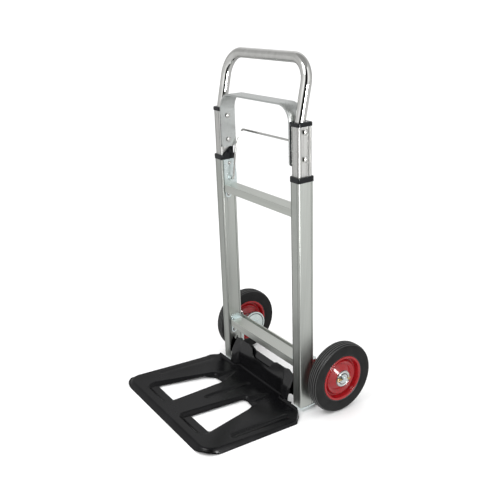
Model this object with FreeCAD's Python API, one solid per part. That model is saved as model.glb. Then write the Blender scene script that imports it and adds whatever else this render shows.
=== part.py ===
"""Folding hand truck with a telescopic handle, a hinged toe plate and two swing-in wheels.

Units are millimetres.  X runs across the truck, -Y is the toe plate side, +Y the wheel side and +Z
is up, with the floor at Z = 0.  The origin is the centre of the footprint, on the floor.

The uprights lean forward over the toe plate.  Everything carried by them is drawn in an upright
frame, whose origin is the front foot of the uprights, and is then tipped into place by `lean`.
The toe plate lies flat on the floor and is only moved by `level`.  One side is drawn, for +X, and
the other side is its mirror image.
"""

import FreeCAD
import Part
import math
import os

# Stance
LEAN = 3.86                 # degrees the uprights tip forward
FOOT_HEIGHT = 10.2          # floor to the front foot of the uprights
FIT = 0.05                  # radial clearance of a pin in its hole
GUIDE_GAP = 0.2             # clearance of a sliding tube in its collar

# Stiles, the two fixed uprights
STILE_OUTER = 158.4         # centre plane to outer face
STILE_WIDTH = 28.4
STILE_DEPTH = 38.8
STILE_LENGTH = 530.0
STILE_WALL = 1.6
STILE_INNER = STILE_OUTER - STILE_WIDTH

# Collars on top of the stiles, each with a lock housing on its inner side
COLLAR_HEIGHT = 11.5
COLLAR_LIP = 1.1
HOUSING_INNER = 127.6
HOUSING_FRONT = 6.5
HOUSING_REAR = 33.0
HOUSING_LOW = 2.0           # height above the collar at the front
HOUSING_HIGH = 17.5         # height above the collar at the rear

# Crossbars
BAR_FRONT = 4.0
BAR_DEPTH = 32.5
BAR_HEIGHT = 18.6
BAR_WALL = 1.8
UPPER_BAR_TOP = 470.6
LOWER_BAR_TOP = 113.9

# Zinc plates lining the inner faces of the stiles
LINER = 2.5
LINER_FACE = STILE_INNER - LINER

# Rivets
RIVET_SHANK = 2.4
RIVET_HEAD = 4.5
RIVET_RISE = 2.2

# Telescopic tubes
TUBE_OUTER = 156.2
TUBE_INNER = 132.2
TUBE_FRONT = 2.4
TUBE_REAR = 36.6
TUBE_WALL = 1.8
TUBE_BOTTOM = 150.0
TUBE_TOP = 643.5
CHANNEL_FRONT = 7.7
CHANNEL_REAR = 26.8
CHANNEL_DEPTH = 1.2

# Spacer, cap and grip arch
SPACER_INNER = 128.5
SPACER_FRONT = 2.5
SPACER_REAR = 36.5
SPACER_BOTTOM = 562.0
CAP_HEIGHT = 8.5
ARCH_FRONT = 1.5
ARCH_REAR = 39.5
ARCH_BOTTOM = 560.5
ARCH_TOP = 685.5
ARCH_THICK = 4.0
ARCH_BEND = 38.0

# Handle bolts
BOLT_SHANK = 3.0
BOLT_HEAD = 7.0
BOLT_NUT = 6.3
BOLT_Y = 19.3
BOLT_HEIGHTS = (577.5, 632.5)

# Chrome hoop
HOOP_RADIUS = 11.1
HOOP_X = 143.0
HOOP_Y = 16.7
HOOP_SLANT = 12.4           # degrees it leans back
HOOP_RISE = 122.4           # cap to centre of the grip, along the slant
HOOP_BEND = 50.0

# Release bail and lock pins
BAIL_WIRE = 2.5
BAIL_X = 118.0
BAIL_PIVOT_Y = 23.0
BAIL_PIVOT_Z = 483.0
BOSS_RADIUS = 6.5
BOSS_RISE = 4.0
LOCK_Y = 20.0
LOCK_Z = 549.0
LOCK_RADIUS = 2.5

# Toe plate
PLATE_HALF = 191.5
PLATE_FRONT = -277.5
PLATE_HEIGHT = 13.0
PLATE_SHEET = 2.2
PLATE_SLOPE = 8.5           # inward lean of the rim over its height
TRAY_FLOOR = 4.5
GROOVE_HALF = 7.0
GROOVE_DEPTH = 3.0
TOE_PIN_Y = 10.0
TOE_PIN_Z = 36.0
TOE_PIN = 4.0
EAR_OUTER = 126.5
EAR_INNER = 124.0

# Wheels
WHEEL_Y = 84.06
WHEEL_RADIUS = 83.5
WHEEL_MID = 188.4
TYRE_HALF = 15.0
TREAD_PITCH = 3.6
TREAD_DEPTH = 1.3
TYRE_BORE = 54.0
AXLE_RADIUS = 7.5
AXLE_END = 210.0
HUB_RADIUS = 12.0
HUB_INNER = 172.0
HUB_OUTER = 202.2
COTTER_TURN = 170.0         # turn of the split pin about the axle, in degrees

# Wheel arms and their vertical pivots
PIVOT_X = 147.0
PIVOT_Y = 46.0
PIVOT_RADIUS = 4.0
BARREL_RADIUS = 7.0
BARREL_BOTTOM = 16.0
EAR_BOTTOM = 103.8
EAR_TOP = 112.5
ARM_DISC = 33.0
ARM_FLAT = 22.0             # axle down to the flat that clears the folded toe plate
ARM_SHEET = 3.0
ARM_LIP = 9.0
FOOT_PLATE = 4.0

SHIFT = (WHEEL_Y + WHEEL_RADIUS + PLATE_FRONT) / 2
X_AXIS = FreeCAD.Vector(1, 0, 0)
Y_AXIS = FreeCAD.Vector(0, 1, 0)
Z_AXIS = FreeCAD.Vector(0, 0, 1)
ORIGIN = FreeCAD.Vector(0, 0, 0)


def vec(x, y, z):
    return FreeCAD.Vector(x, y, z)


def to_upright(y, z):
    """Floor-frame Y and Z turned into the upright frame of the stiles."""
    angle = math.radians(LEAN)
    rise = z - FOOT_HEIGHT
    return (y * math.cos(angle) + rise * math.sin(angle),
            rise * math.cos(angle) - y * math.sin(angle))


def lean(shape):
    moved = shape.copy()
    moved.rotate(ORIGIN, X_AXIS, LEAN)
    moved.translate(vec(0, -SHIFT, FOOT_HEIGHT))
    return moved


def level(shape):
    moved = shape.copy()
    moved.translate(vec(0, -SHIFT, 0))
    return moved


def mirrored(shape):
    return shape.mirror(ORIGIN, X_AXIS)


def save(name, *shapes):
    shape = shapes[0] if len(shapes) == 1 else Part.makeCompound(list(shapes))
    shape.exportStep(f"parts/{name}.step")


def save_pair(name, shape):
    """Write the right-hand piece and its mirror image, both tipped into place."""
    save(f"{name}_right", lean(shape))
    save(f"{name}_left", lean(mirrored(shape)))


def box(x0, x1, y0, y1, z0, z1):
    return Part.makeBox(x1 - x0, y1 - y0, z1 - z0, vec(x0, y0, z0))


def rounded_box(x0, x1, y0, y1, z0, z1, radius):
    """A box with its four upright edges rounded."""
    block = box(x0, x1, y0, y1, z0, z1)
    upright = [edge for edge in block.Edges if abs(edge.tangentAt(0).z) > 0.9]
    return block.makeFillet(radius, upright)


def rod_x(x0, x1, y, z, radius):
    return Part.makeCylinder(radius, x1 - x0, vec(x0, y, z), X_AXIS)


def rod_z(x, y, z0, z1, radius):
    return Part.makeCylinder(radius, z1 - z0, vec(x, y, z0), Z_AXIS)


def cap_x(x, y, z, radius, thick, rise):
    """A disc on a face at x with a domed top, thickening along X by the signs of its sizes."""
    sphere_radius = (radius * radius + rise * rise) / (2 * abs(rise))
    side = math.copysign(1.0, rise)
    brim = x + side * thick
    crown = brim + rise
    half_angle = math.asin(radius / sphere_radius) / 2
    middle = vec(crown - side * sphere_radius * (1 - math.cos(half_angle)), y,
                 z + sphere_radius * math.sin(half_angle))
    outline = Part.Wire([
        Part.makeLine(vec(x, y, z), vec(x, y, z + radius)),
        Part.makeLine(vec(x, y, z + radius), vec(brim, y, z + radius)),
        Part.Arc(vec(brim, y, z + radius), middle, vec(crown, y, z)).toShape(),
        Part.makeLine(vec(crown, y, z), vec(x, y, z))])
    return Part.Face(outline).revolve(vec(x, y, z), X_AXIS, 360)


def prism_x(points, x0, x1):
    """Extrude a Y, Z outline along X."""
    loop = [vec(x0, y, z) for y, z in points]
    return Part.Face(Part.makePolygon(loop + loop[:1])).extrude(vec(x1 - x0, 0, 0))


def corner_wire(points, radii, height):
    """A closed X, Y polygon at a height, with each corner rounded by its own radius."""
    edges = []
    count = len(points)
    joins = []
    for index, ((x, y), radius) in enumerate(zip(points, radii)):
        here = vec(x, y, height)
        before = vec(*points[index - 1], height) - here
        after = vec(*points[(index + 1) % count], height) - here
        before.normalize()
        after.normalize()
        half = before.getAngle(after) / 2
        reach = radius / math.tan(half)
        bisector = before + after
        bisector.normalize()
        middle = here + bisector * (radius / math.sin(half) - radius)
        joins.append((here + before * reach, middle, here + after * reach))
    for index, (start, middle, end) in enumerate(joins):
        edges.append(Part.Arc(start, middle, end).toShape())
        edges.append(Part.makeLine(end, joins[(index + 1) % count][0]))
    return Part.Wire(edges)


def loft(lower, upper):
    return Part.makeLoft([lower, upper], True, True)


def bent_rod(points, radius, bend):
    """A round rod along straight runs joined by bends of one radius."""
    corners = [vec(*point) for point in points]
    edges = []
    start = corners[0]
    for before, here, after in zip(corners, corners[1:], corners[2:]):
        back = before - here
        ahead = after - here
        back.normalize()
        ahead.normalize()
        half = back.getAngle(ahead) / 2
        reach = bend / math.tan(half)
        bisector = back + ahead
        bisector.normalize()
        middle = here + bisector * (bend / math.sin(half) - bend)
        edges.append(Part.makeLine(start, here + back * reach))
        start = here + ahead * reach
        edges.append(Part.Arc(here + back * reach, middle, start).toShape())
    edges.append(Part.makeLine(start, corners[-1]))
    path = Part.Wire(edges)
    first = corners[1] - corners[0]
    profile = Part.Wire(Part.Circle(corners[0], first, radius).toShape())
    return path.makePipeShell([profile], True, True)


def revolve_x(profile, y, z):
    """Turn an X, radius outline about the X-parallel line through y and z."""
    loop = [vec(x, y, z + radius) for x, radius in profile]
    face = Part.Face(Part.makePolygon(loop + loop[:1]))
    return face.revolve(vec(0, y, z), X_AXIS, 360)


def rivet(y, z):
    """A rivet through a liner and the stile wall, with its head on the liner."""
    shank = rod_x(LINER_FACE, STILE_INNER + STILE_WALL, y, z, RIVET_SHANK)
    return shank.fuse(cap_x(LINER_FACE, y, z, RIVET_HEAD, 0.4, -RIVET_RISE))


def hole_x(x0, x1, y, z, radius):
    return rod_x(x0, x1, y, z, radius + FIT)


# Positions shared by several pieces
TOE_PIN_LOCAL = to_upright(TOE_PIN_Y, TOE_PIN_Z)
WHEEL_LOCAL = to_upright(WHEEL_Y, WHEEL_RADIUS)
LOCK_RIVETS = ((20.7, 520.5), (14.6, 445.0))
GUSSET_RIVETS = ((13.0, 84.0),)


def stile():
    outer = rounded_box(STILE_INNER, STILE_OUTER, 0, STILE_DEPTH, 0, STILE_LENGTH, 2.6)
    bore = rounded_box(STILE_INNER + STILE_WALL, STILE_OUTER - STILE_WALL, STILE_WALL,
                       STILE_DEPTH - STILE_WALL, -1, STILE_LENGTH + 1, 1.4)
    tube = outer.cut(bore)
    for y, z in LOCK_RIVETS + GUSSET_RIVETS:
        tube = tube.cut(hole_x(STILE_INNER - 1, STILE_INNER + 4, y, z, RIVET_SHANK))
    return tube.cut(hole_x(STILE_INNER - 1, STILE_INNER + 4, *TOE_PIN_LOCAL, TOE_PIN))


def collar():
    """A black ring on the stile, with a wedge-shaped lock housing facing the middle."""
    top = STILE_LENGTH + COLLAR_HEIGHT
    ring = rounded_box(STILE_INNER - COLLAR_LIP, STILE_OUTER + COLLAR_LIP, -COLLAR_LIP,
                       STILE_DEPTH + COLLAR_LIP, STILE_LENGTH, top, 3.2)
    wedge = prism_x([(HOUSING_FRONT, STILE_LENGTH + 2), (HOUSING_REAR, STILE_LENGTH + 2),
                     (HOUSING_REAR, top + HOUSING_HIGH), (HOUSING_REAR - 7, top + HOUSING_HIGH),
                     (HOUSING_FRONT, top + HOUSING_LOW)], HOUSING_INNER, TUBE_INNER - GUIDE_GAP)
    body = ring.fuse(wedge)
    body = body.cut(box(TUBE_INNER - GUIDE_GAP, TUBE_OUTER + GUIDE_GAP, TUBE_FRONT - GUIDE_GAP,
                        TUBE_REAR + GUIDE_GAP, STILE_LENGTH - 1, top + HOUSING_HIGH + 1))
    return body.cut(hole_x(HOUSING_INNER - 1, TUBE_INNER, LOCK_Y, LOCK_Z, LOCK_RADIUS))


def crossbar(top):
    """A rectangular extrusion with a shallow groove along its front and its top."""
    bottom = top - BAR_HEIGHT
    rear = BAR_FRONT + BAR_DEPTH
    solid = box(-LINER_FACE, LINER_FACE, BAR_FRONT, rear, bottom, top)
    long_edges = [edge for edge in solid.Edges if abs(edge.tangentAt(0).x) > 0.9]
    solid = solid.makeFillet(1.2, long_edges)
    bore = box(-LINER_FACE - 1, LINER_FACE + 1, BAR_FRONT + BAR_WALL, rear - BAR_WALL,
               bottom + BAR_WALL, top - BAR_WALL)
    front_groove = box(-LINER_FACE - 1, LINER_FACE + 1, BAR_FRONT - 1, BAR_FRONT + 0.5,
                       top - 7.0, top - 5.6)
    return solid.cut(bore).cut(front_groove)


def lock_plate():
    """Upper liner: rivet at the top, eye for the bail, and a tongue below the crossbar."""
    bar_bottom = UPPER_BAR_TOP - BAR_HEIGHT
    upper = prism_x([(5, STILE_LENGTH), (5, bar_bottom), (36.5, bar_bottom), (39.5, UPPER_BAR_TOP),
                     (39.5, 498), (36, STILE_LENGTH)], LINER_FACE, STILE_INNER)
    tongue = box(LINER_FACE, STILE_INNER, 6.6, 22.6, 445, bar_bottom + 1)
    tongue = tongue.fuse(rod_x(LINER_FACE, STILE_INNER, 14.6, 445, 8.0))
    boss = rod_x(LINER_FACE - BOSS_RISE, LINER_FACE, BAIL_PIVOT_Y, BAIL_PIVOT_Z, BOSS_RADIUS)
    plate = upper.fuse(tongue).fuse(boss)
    plate = plate.cut(hole_x(LINER_FACE - 5, STILE_INNER - 1, BAIL_PIVOT_Y, BAIL_PIVOT_Z, BAIL_WIRE))
    for y, z in LOCK_RIVETS:
        plate = plate.cut(hole_x(LINER_FACE - 1, STILE_INNER + 1, y, z, RIVET_SHANK))
    return plate.removeSplitter()


def gusset():
    """Lower liner: a folded ear above the crossbar and a rounded tongue below it."""
    bar_bottom = LOWER_BAR_TOP - BAR_HEIGHT
    back = prism_x([(5, 121), (5, bar_bottom), (36.5, bar_bottom), (36.5, 118), (28, 126), (11, 126)],
                   LINER_FACE, STILE_INNER)
    ear = prism_x([(7, LOWER_BAR_TOP), (34, LOWER_BAR_TOP), (30, LOWER_BAR_TOP + 3),
                   (10, LOWER_BAR_TOP + 3)], LINER_FACE - 9, LINER_FACE)
    tongue = box(LINER_FACE, STILE_INNER, 5, 21, 84, bar_bottom + 1)
    tongue = tongue.fuse(rod_x(LINER_FACE, STILE_INNER, 13, 84, 8.0))
    plate = back.fuse(ear).fuse(tongue)
    for y, z in GUSSET_RIVETS:
        plate = plate.cut(hole_x(LINER_FACE - 1, STILE_INNER + 1, y, z, RIVET_SHANK))
    return plate.removeSplitter()


def rivets():
    right = [rivet(y, z) for y, z in LOCK_RIVETS + GUSSET_RIVETS]
    return right + [mirrored(piece) for piece in right]


def pivot_ear():
    """Zinc ear on the back of the stile that holds the top of the wheel pivot."""
    block = box(PIVOT_X - 7.5, PIVOT_X + 7.5, STILE_DEPTH, PIVOT_Y, EAR_BOTTOM, EAR_TOP)
    round_end = rod_z(PIVOT_X, PIVOT_Y, EAR_BOTTOM, EAR_TOP, 7.5)
    block = block.fuse(round_end.cut(box(PIVOT_X - 8, PIVOT_X + 8, 0, STILE_DEPTH, 0, EAR_TOP + 1)))
    return block.cut(rod_z(PIVOT_X, PIVOT_Y, EAR_BOTTOM - 1, EAR_TOP + 1, PIVOT_RADIUS + FIT))


def foot_plate():
    """Zinc strip under the stile that holds the bottom of the wheel pivot."""
    strip = box(STILE_INNER + 3, STILE_OUTER + 0.8, 2, PIVOT_Y, -FOOT_PLATE, 0)
    strip = strip.fuse(rod_z(PIVOT_X, PIVOT_Y, -FOOT_PLATE, 0, 10.5))
    return strip.cut(rod_z(PIVOT_X, PIVOT_Y, -FOOT_PLATE - 1, 1, PIVOT_RADIUS + FIT))


def pivot_pin():
    pin = rod_z(PIVOT_X, PIVOT_Y, -FOOT_PLATE, EAR_TOP, PIVOT_RADIUS)
    return pin.fuse(rod_z(PIVOT_X, PIVOT_Y, 0, BARREL_BOTTOM - 0.4, 6.0))


def pivot_cap():
    cap = rod_z(PIVOT_X, PIVOT_Y, -FOOT_PLATE - 6.5, -FOOT_PLATE, 8.5)
    return cap.makeFillet(3.0, [cap.Edges[2]])


def rear_rail():
    return box(-PIVOT_X + 7.5, PIVOT_X - 7.5, PIVOT_Y - 0.6, PIVOT_Y + 2.4, EAR_BOTTOM, EAR_TOP)


def telescopic_tube():
    """Inner upright: a channel down its outer face and fine grooves down its front."""
    outer = rounded_box(TUBE_INNER, TUBE_OUTER, TUBE_FRONT, TUBE_REAR, TUBE_BOTTOM, TUBE_TOP, 2.4)
    bore = box(TUBE_INNER + TUBE_WALL, TUBE_OUTER - TUBE_WALL - CHANNEL_DEPTH, TUBE_FRONT + TUBE_WALL,
               TUBE_REAR - TUBE_WALL, TUBE_BOTTOM - 1, TUBE_TOP + 1)
    tube = outer.cut(bore)
    channel = box(TUBE_OUTER - CHANNEL_DEPTH, TUBE_OUTER + 1, CHANNEL_FRONT, CHANNEL_REAR,
                  TUBE_BOTTOM - 1, TUBE_TOP + 1)
    rear_groove = box(TUBE_OUTER - 0.6, TUBE_OUTER + 1, 32.0, 33.2, TUBE_BOTTOM - 1, TUBE_TOP + 1)
    tube = tube.cut(channel).cut(rear_groove)
    for x in (TUBE_INNER + 4.0, TUBE_OUTER - 5.0):
        tube = tube.cut(box(x, x + 1.0, TUBE_FRONT - 1, TUBE_FRONT + 0.5, TUBE_BOTTOM - 1, TUBE_TOP + 1))
    for z in BOLT_HEIGHTS:
        tube = tube.cut(hole_x(TUBE_INNER - 1, TUBE_OUTER + 1, BOLT_Y, z, BOLT_SHANK))
    return tube


def tube_cap():
    cap = rounded_box(SPACER_INNER + 0.3, STILE_OUTER, 0.4, 38.6, TUBE_TOP,
                      TUBE_TOP + CAP_HEIGHT, 5.5)
    rim = [edge for edge in cap.Edges if edge.BoundBox.ZMin > TUBE_TOP + CAP_HEIGHT - 0.1]
    cap = cap.makeFillet(2.5, rim)
    return cap.cut(box(HOOP_X - 7.7, HOOP_X + 7.7, 8.8, 31.2, TUBE_TOP - 1, TUBE_TOP + CAP_HEIGHT + 1))


def spacer():
    block = box(SPACER_INNER, TUBE_INNER, SPACER_FRONT, SPACER_REAR, SPACER_BOTTOM, TUBE_TOP)
    for z in BOLT_HEIGHTS:
        block = block.cut(hole_x(SPACER_INNER - 1, TUBE_INNER + 1, BOLT_Y, z, BOLT_SHANK))
    return block


def arch_outline(half, top, bend):
    """Upside-down U of half width `half`, as a closed face in the X, Z plane."""
    low = ARCH_BOTTOM - 1
    diagonal = bend * math.sqrt(0.5)
    left = Part.Arc(vec(-half, 0, top - bend), vec(-half + bend - diagonal, 0, top - bend + diagonal),
                    vec(-half + bend, 0, top)).toShape()
    right = Part.Arc(vec(half - bend, 0, top), vec(half - bend + diagonal, 0, top - bend + diagonal),
                     vec(half, 0, top - bend)).toShape()
    return Part.Face(Part.Wire([
        Part.makeLine(vec(-half, 0, low), vec(-half, 0, top - bend)), left,
        Part.makeLine(vec(-half + bend, 0, top), vec(half - bend, 0, top)), right,
        Part.makeLine(vec(half, 0, top - bend), vec(half, 0, low)),
        Part.makeLine(vec(half, 0, low), vec(-half, 0, low))]))


def grip_arch():
    """Flat strap bent over between the telescopic tubes, with rounded lower ends."""
    depth = vec(0, ARCH_REAR - ARCH_FRONT, 0)
    outer = arch_outline(SPACER_INNER, ARCH_TOP, ARCH_BEND).extrude(depth)
    inner = arch_outline(SPACER_INNER - ARCH_THICK, ARCH_TOP - ARCH_THICK,
                         ARCH_BEND - ARCH_THICK).extrude(depth)
    strap = outer.cut(inner)
    strap.translate(vec(0, ARCH_FRONT, 0))
    side = rounded_side(ARCH_FRONT, ARCH_REAR, ARCH_BOTTOM, ARCH_TOP + 1, 7.0)
    strap = strap.common(side)
    for z in BOLT_HEIGHTS:
        strap = strap.cut(hole_x(-SPACER_INNER - 1, SPACER_INNER + 1, BOLT_Y, z, BOLT_SHANK))
    return strap


def rounded_side(y0, y1, z0, z1, radius):
    """A slab across the whole truck whose two lower edges are rounded."""
    slab = box(-SPACER_INNER - 2, SPACER_INNER + 2, y0, y1, z0, z1)
    low = [edge for edge in slab.Edges if edge.BoundBox.ZMax < z0 + 0.1
           and abs(edge.tangentAt(0).x) > 0.9]
    return slab.makeFillet(radius, low)


def hoop():
    """Round chrome hoop; its ends are flattened into tongues that sit inside the tubes."""
    base = TUBE_TOP + CAP_HEIGHT
    rod = bent_rod([(-HOOP_X, 0, 0), (-HOOP_X, 0, HOOP_RISE), (HOOP_X, 0, HOOP_RISE),
                    (HOOP_X, 0, 0)], HOOP_RADIUS, HOOP_BEND)
    rod = rod.fuse(Part.makeSphere(HOOP_RADIUS, vec(-HOOP_X, 0, 0)))
    rod = rod.fuse(Part.makeSphere(HOOP_RADIUS, vec(HOOP_X, 0, 0)))
    rod.rotate(ORIGIN, X_AXIS, -HOOP_SLANT)
    rod.translate(vec(0, HOOP_Y, base))
    rod = rod.cut(box(-200, 200, -50, 100, base - 50, base))
    for side in (-1, 1):
        middle = side * HOOP_X
        tongue = rounded_box(middle - 7.5, middle + 7.5, 9.0, 31.0, 566, base + 2, 3.0)
        rod = rod.fuse(tongue.common(box(-200, 200, -50, 100, 500, base))
                       .fuse(tongue.common(rod)))
    for z in BOLT_HEIGHTS:
        rod = rod.cut(hole_x(-TUBE_OUTER, TUBE_OUTER, BOLT_Y, z, BOLT_SHANK))
    return rod.removeSplitter()


def handle_bolt(z):
    """Pan-headed bolt: head in the tube's channel, domed nut inside the grip arch."""
    seat = TUBE_OUTER - CHANNEL_DEPTH
    arch_face = SPACER_INNER - ARCH_THICK
    shank = rod_x(arch_face, seat, BOLT_Y, z, BOLT_SHANK)
    head = cap_x(seat, BOLT_Y, z, BOLT_HEAD, 2.5, 3.0)
    nut = cap_x(arch_face, BOLT_Y, z, BOLT_NUT, 1.5, -2.2)
    return shank.fuse(head).fuse(nut)


def handle_bolts():
    right = [handle_bolt(z) for z in BOLT_HEIGHTS]
    return right + [mirrored(piece) for piece in right]


def release_bail():
    """Wire loop: its feet turn outward into the eyes and its top is cranked rearward."""
    foot = (LINER_FACE - 0.8, BAIL_PIVOT_Y, BAIL_PIVOT_Z)
    ankle = (BAIL_X, BAIL_PIVOT_Y, BAIL_PIVOT_Z)
    knee = (BAIL_X, 34.0, 562.0)
    crown = (BAIL_X, 54.0, 597.0)
    right = [foot, ankle, knee, crown]
    left = [(-x, y, z) for x, y, z in reversed(right)]
    return bent_rod(right + left, BAIL_WIRE, 5.0)


def lock_pin():
    pin = rod_x(123.0, TUBE_INNER - 0.6, LOCK_Y, LOCK_Z, LOCK_RADIUS)
    return pin.fuse(rod_x(121.5, 124.0, LOCK_Y, LOCK_Z, 3.4))


def toe_pin():
    """Rod the toe plate hinges on; its ends stop inside the stiles."""
    reach = STILE_OUTER - STILE_WALL - 1
    return rod_x(-reach, reach, *TOE_PIN_LOCAL, TOE_PIN)


def plate_outline(inset, height):
    """Outline of the pressed plate.  Its sides and front slope, its rear edge does not."""
    half = PLATE_HALF - inset
    right = [(half, PLATE_FRONT + inset), (half, -38.0 - inset / 2), (168.0 - inset / 2, -13.0),
             (96.0, -13.0), (88.0, -2.0)]
    left = [(-x, y) for x, y in reversed(right)]
    rounding = [42.0 - inset, 9.0, 9.0, 1.5, 1.5]
    return corner_wire(right + left, rounding + rounding[::-1], height)


def plate_bore():
    """The hollow under the plate, one sheet thickness inside its outline."""
    sheet = PLATE_SHEET
    top = PLATE_HEIGHT - sheet
    lower = [(PLATE_HALF - sheet, PLATE_FRONT + sheet), (PLATE_HALF - sheet, -39.0),
             (167.0, -13.0 - sheet), (94.6, -13.0 - sheet), (86.6, -2.0 - sheet)]
    slope = PLATE_SLOPE * top / PLATE_HEIGHT
    upper = [(x - slope if x > 150 else x, y + slope if y < -200 else y) for x, y in lower]
    rounding = [39.0, 8.0, 8.0, 1.5, 1.5]
    wires = []
    for points, height in ((lower, -0.5), (upper, top)):
        loop = points + [(-x, y) for x, y in reversed(points)]
        wires.append(corner_wire(loop, rounding + rounding[::-1], height))
    return loft(*wires)


def tray_wire(inset, height):
    """Outline of the sunken tray round one opening, drawn for the right-hand side."""
    points = [(29.0 + inset, -244.0 + inset), (131.0 - inset, -242.0 + inset),
              (96.0 - inset, -62.0 - inset), (40.0 + inset, -62.0 - inset)]
    return corner_wire(points, [15.0 - inset, 20.0 - inset, 20.0 - inset, 15.0 - inset], height)


def tray_void():
    return loft(tray_wire(9.0, TRAY_FLOOR), tray_wire(-0.5, PLATE_HEIGHT + 0.5))


def tray_shell():
    return loft(tray_wire(7.5, TRAY_FLOOR - PLATE_SHEET), tray_wire(-2.5, PLATE_HEIGHT))


def opening_prism():
    """The tapered opening: wide toward the front, narrow and rounded toward the uprights."""
    points = [(41.0, -219.0), (117.0, -219.0), (82.0, -84.0), (49.0, -79.5)]
    face = Part.Face(corner_wire(points, [4.0, 6.0, 13.0, 11.0], -1))
    return face.extrude(vec(0, 0, PLATE_HEIGHT + 2))


def groove(x, y0, y1, sheet):
    """Round-bottomed groove pressed down along Y; a sheet thickness gives its underside."""
    radius = (GROOVE_HALF ** 2 + GROOVE_DEPTH ** 2) / (2 * GROOVE_DEPTH)
    height = PLATE_HEIGHT - GROOVE_DEPTH + radius
    void = Part.makeCylinder(radius + sheet, y1 - y0, vec(x, y0, height), Y_AXIS)
    for y in (y0, y1):
        void = void.fuse(Part.makeSphere(radius + sheet, vec(x, y, height)))
    return void


def grooves(sheet):
    """The groove down the middle, one along each side and one behind each tray."""
    right = [groove(164.0, -190.0, -45.0, sheet), groove(67.0, -62.0, -30.0, sheet)]
    return [groove(0.0, -155.0, -38.0, sheet)] + right + [mirrored(void) for void in right]


def toe_plate():
    plate = loft(plate_outline(0, 0), plate_outline(PLATE_SLOPE, PLATE_HEIGHT))
    hollow = plate_bore()
    for shell in [tray_shell(), mirrored(tray_shell())] + grooves(PLATE_SHEET):
        hollow = hollow.cut(shell)
    plate = plate.cut(hollow)
    for void in [tray_void(), mirrored(tray_void())] + grooves(0.0):
        plate = plate.cut(void)
    lip = prism_x([(-14.5, PLATE_HEIGHT - 1), (-10.0, 20.5), (-7.8, 20.5), (-12.3, 10.0),
                   (-14.5, 10.0)], 130.0, 165.0)
    for side in (lambda shape: shape, mirrored):
        plate = plate.cut(side(opening_prism())).fuse(side(lip))
    return plate.removeSplitter()


def upstand_section(height, rows):
    """One closed section of the upstand: the front line out and the back line home."""
    sheet = 2.5
    right = [(x, y) for x, y in rows]
    front = [(-x, y) for x, y in reversed(right)] + right
    back = [(x, y + sheet) for x, y in reversed(front)]
    loop = [vec(x, y, height) for x, y in front + back]
    return Part.makePolygon(loop + loop[:1])


def upstand_trim():
    """Everything above the wavy top edge of the upstand."""
    half = [(0.0, 58.5), (20.0, 58.6), (29.0, 60.5), (36.0, 66.0), (42.0, 73.0), (48.0, 78.0),
            (56.0, 80.8), (75.0, 81.5), (95.0, 81.0), (104.0, 78.5), (111.0, 77.5), (127.5, 80.0)]
    curve = Part.BSplineCurve()
    curve.interpolate([vec(x, -40, z) for x, z in half])
    edge = curve.toShape()
    mirror_edge = edge.mirror(ORIGIN, X_AXIS)
    roof = [vec(-127.5, -40, 80), vec(-127.5, -40, 120), vec(127.5, -40, 120), vec(127.5, -40, 80)]
    wire = Part.Wire(Part.__sortEdges__([edge, mirror_edge, *Part.makePolygon(roof).Edges]))
    return Part.Face(wire).extrude(vec(0, 100, 0))


def rounded_corner_void():
    """The cut-away lower outer corner of the upstand, open to the floor beside the stile."""
    void = box(112.0, EAR_OUTER + 1, -20, 12, 4.0, 34.0)
    inner_top = [edge for edge in void.Edges if abs(edge.tangentAt(0).y) > 0.9
                 and edge.BoundBox.XMax < 113 and edge.BoundBox.ZMin > 33]
    return void.makeFillet(9.0, inner_top)


def toe_upstand():
    """Stamped wall between the stiles, with end ears on the hinge rod and a dipped top edge."""
    bottom = upstand_section(2.5, [(88.6, -1.8), (96.6, -12.8), (EAR_OUTER, -12.8)])
    crease = upstand_section(48.0, [(89.0, -1.0), (97.0, -6.0), (EAR_OUTER, -6.0)])
    top = upstand_section(90.0, [(89.0, 7.0), (97.0, 5.5), (EAR_OUTER, 2.5)])
    wall = Part.makeLoft([bottom, crease, top], True, True).cut(upstand_trim())
    pocket = prism_x([(1.5, 50.0), (4.0, 50.0), (14.0, 69.5), (11.5, 69.5)], -37.0, 37.0)
    wall = wall.fuse(pocket)
    for side in (lambda shape: shape, mirrored):
        wall = wall.cut(side(rounded_corner_void()))
    ear = prism_x([(2.0, 29.0), (16.0, 27.0), (23.0, 36.0), (23.0, 46.0), (14.0, 62.0), (3.5, 76.0),
                   (-4.5, 50.0), (-4.5, 38.0)], EAR_INNER, EAR_OUTER)
    ear = ear.cut(hole_x(EAR_INNER - 1, EAR_OUTER + 1, TOE_PIN_Y, TOE_PIN_Z, TOE_PIN))
    return wall.fuse(ear).fuse(mirrored(ear)).removeSplitter()


def arm():
    """Wheel arm: a lipped disc round the axle, a boss, and a barrel on the vertical pivot."""
    y, z = WHEEL_LOCAL
    face = PIVOT_X
    disc = rod_x(face, face + ARM_LIP, y, z, ARM_DISC)
    disc = disc.cut(rod_x(face + ARM_SHEET, face + ARM_LIP + 1, y, z, ARM_DISC - 2.4))
    disc = disc.cut(box(face - 1, face + ARM_LIP + 1, y - ARM_DISC, y + ARM_DISC, 0, z - ARM_FLAT))
    web = prism_x([(PIVOT_Y, 22.0), (PIVOT_Y + 7, 22.0), (PIVOT_Y + 9, 47.0), (y - 14, 48.0),
                   (y - 14, z + 28), (PIVOT_Y, EAR_BOTTOM - 6)], face, face + ARM_SHEET)
    barrel = rod_z(PIVOT_X, PIVOT_Y, BARREL_BOTTOM, EAR_BOTTOM - 0.5, BARREL_RADIUS)
    boss = rod_x(face, HUB_INNER - 0.5, y, z, HUB_RADIUS)
    body = disc.fuse(web).fuse(barrel).fuse(boss)
    body = body.cut(rod_z(PIVOT_X, PIVOT_Y, 0, EAR_TOP, PIVOT_RADIUS + FIT))
    return body.cut(hole_x(face - 1, HUB_INNER, y, z, AXLE_RADIUS)).removeSplitter()


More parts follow.
